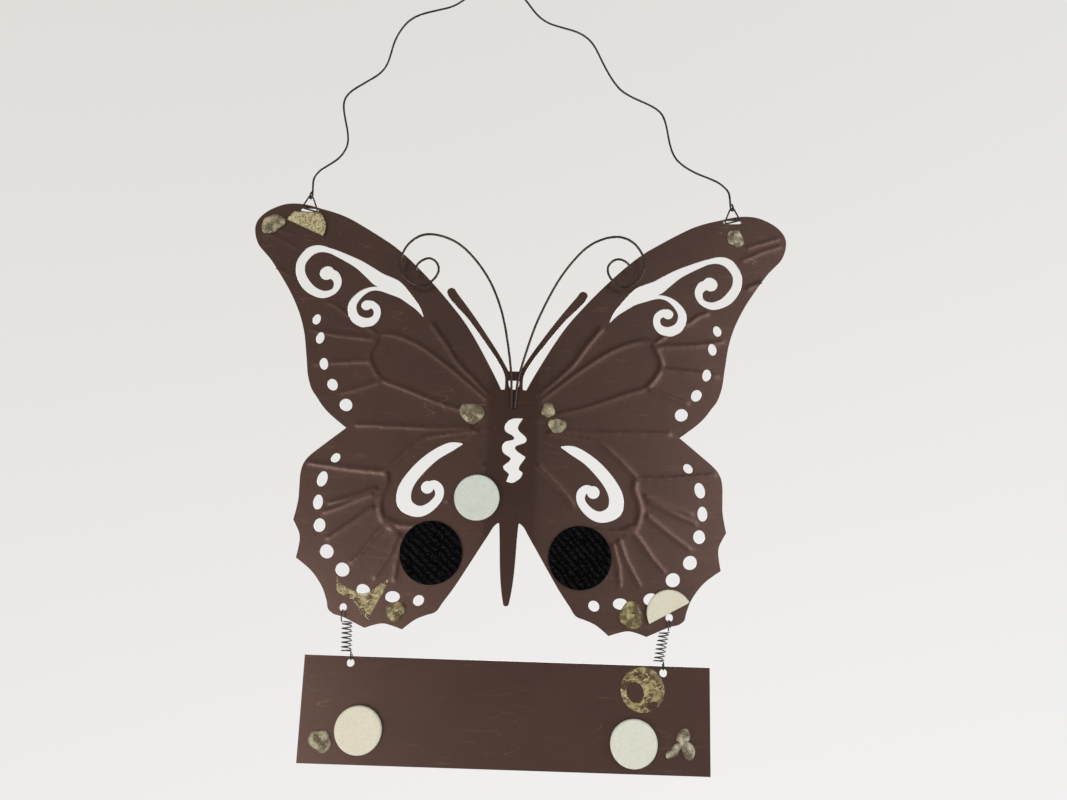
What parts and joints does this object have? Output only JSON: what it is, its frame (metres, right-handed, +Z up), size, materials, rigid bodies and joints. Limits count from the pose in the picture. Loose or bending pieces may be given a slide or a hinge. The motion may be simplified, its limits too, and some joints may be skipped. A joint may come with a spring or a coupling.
{
  "type": "hanging butterfly ornament",
  "caption": "Sheet-steel butterfly with pressed veins and scroll cut-outs, on a wavy wire hanger, with a blank sign below on two small springs.",
  "frame": {"origin": "underside of the hanger wire's crest, where it rests on a nail or hook", "axes": "+Z up as the ornament hangs, +Y out of its front, +X to the right of someone who looks at its back"},
  "size_m": [0.3262, 0.0194, 0.479],
  "materials": {
    "painted_sheet": "satin dark red-brown paint with a fine texture",
    "painted_wire": "satin dark red-brown paint",
    "dark_wire": "satin black-brown paint",
    "felt": "pressed felt",
    "glued_felt": "felt soaked with dried glue",
    "hook_pad": "black woven tape with fine hooks",
    "glue": "dried hot-melt glue, cloudy and slightly yellow"
  },
  "bodies": {
    "hanger": {"hanger_wire": "dark_wire"},
    "link_left": {"link_left": "dark_wire"},
    "link_right": {"link_right": "dark_wire"},
    "butterfly": {"butterfly_plate": "painted_sheet", "antenna_left": "painted_wire", "antenna_right": "painted_wire", "felt_pad_body": "felt", "half_felt_pad_wing": "felt", "half_felt_pad_tip": "glued_felt", "hook_pad_left": "hook_pad", "hook_pad_right": "hook_pad", "glue_tip_left": "glue", "glue_tip_right": "glue", "glue_root_left": "glue", "glue_root_right": "glue", "glue_sheet_left": "glue", "glue_lump_left": "glue", "glue_lump_right": "glue"},
    "springs": {"spring_left": "dark_wire", "spring_right": "dark_wire"},
    "sign": {"sign_plate": "painted_sheet", "felt_pad_sign_left": "felt", "felt_pad_sign_right": "felt", "glue_disc_sign": "glue", "glue_corner_left": "glue", "glue_corner_right": "glue"}
  },
  "joints": [
    {"name": "link_left_swing", "type": "hinge", "parent": "hanger", "child": "link_left", "pos_m": [-0.10942, 0, -0.1526], "axis": [1, 0, 0], "range_deg": [-20, 20]},
    {"name": "link_right_swing", "type": "hinge", "parent": "hanger", "child": "link_right", "pos_m": [0.14942, 0, -0.1526], "axis": [1, 0, 0], "range_deg": [-20, 20]},
    {"name": "butterfly_swing", "type": "hinge", "parent": "link_left", "child": "butterfly", "pos_m": [-0.10942, 0, -0.1602], "axis": [1, 0, 0], "range_deg": [-20, 20]},
    {"name": "sign_swing", "type": "hinge", "parent": "butterfly", "child": "springs", "pos_m": [0, -0.0041, -0.39718], "axis": [1, 0, 0], "range_deg": [-25, 25]},
    {"name": "sign_bounce", "type": "slide", "parent": "springs", "child": "sign", "axis": [0, 0, -1], "range_m": [-0.004, 0.012], "stiffness_N_per_m": 2140, "springref_m": -0.0004, "deforming": ["spring_left", "spring_right"]}
  ],
  "couplings": [
    {"joint": "link_right_swing", "follows": "link_left_swing", "ratio": 1}
  ]
}
